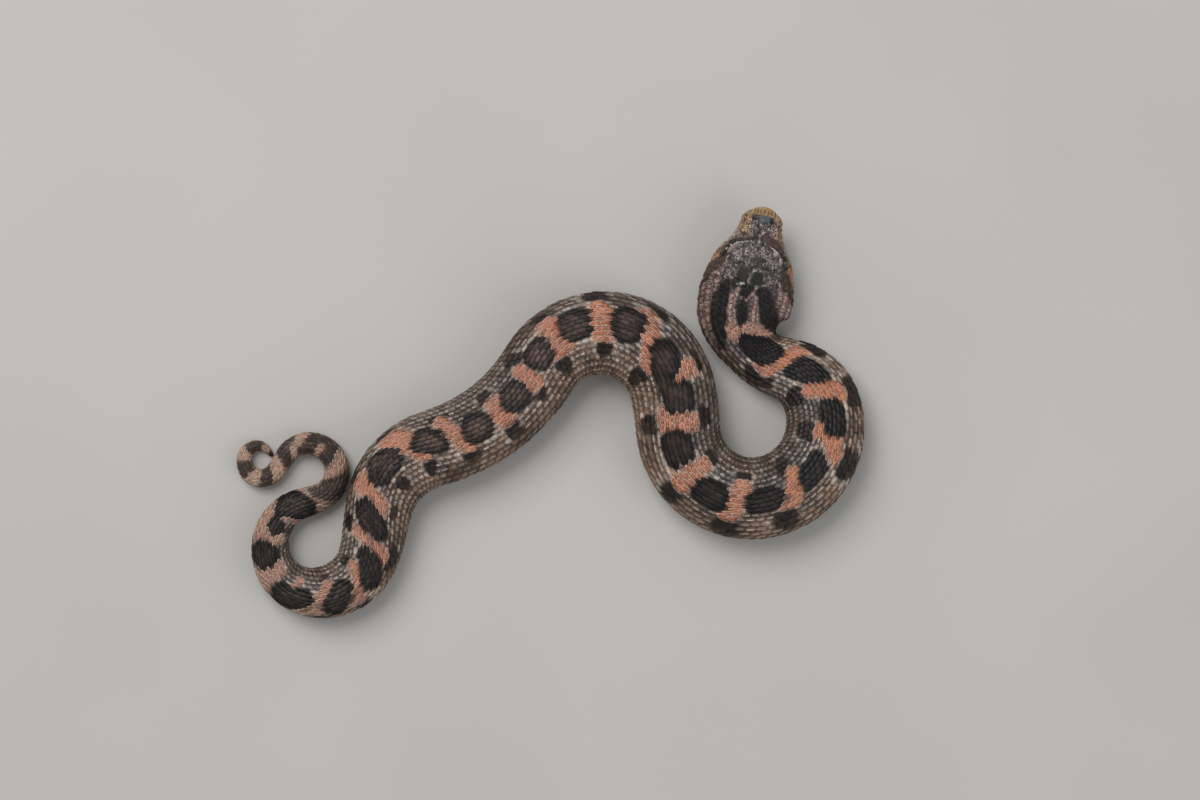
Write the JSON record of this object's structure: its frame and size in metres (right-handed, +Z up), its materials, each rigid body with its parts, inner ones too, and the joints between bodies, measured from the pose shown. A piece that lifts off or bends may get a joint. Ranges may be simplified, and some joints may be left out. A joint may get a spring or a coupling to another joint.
{
  "type": "southern hognose snake, young, still life-size model",
  "caption": "Still life-size model of a young southern hognose snake lying in loose bends on its belly, head forward, tail tip curled.",
  "frame": {"origin": "centre of the bounding box seen from above, on the ground that the belly rests on", "axes": "+Z up off the ground, +Y roughly the way the head points, +X along the longest extent, from the tail towards the head's side"},
  "size_m": [0.1261, 0.0822, 0.0119],
  "materials": {
    "head_skin": "fine matt scales, brown marks on grey",
    "snout_horn": "smooth horn, satin",
    "lip_skin": "smooth lip shields, satin",
    "eye": "wet gloss",
    "body_skin": "keeled matt scales, dark blotches with orange bands between them",
    "tail_skin": "keeled matt scales, dark rings with tan bands"
  },
  "bodies": {
    "root": {"head": "head_skin", "snout_shield": "snout_horn", "lower_jaw": "lip_skin", "eye_left": "eye", "eye_right": "eye", "neck": "body_skin", "trunk_1": "body_skin", "trunk_2": "body_skin", "trunk_3": "body_skin", "trunk_4": "body_skin", "trunk_5": "body_skin", "trunk_6": "body_skin", "trunk_7": "body_skin", "trunk_8": "body_skin", "tail_1": "tail_skin", "tail_2": "tail_skin", "tail_3": "tail_skin"}
  },
  "joints": []
}
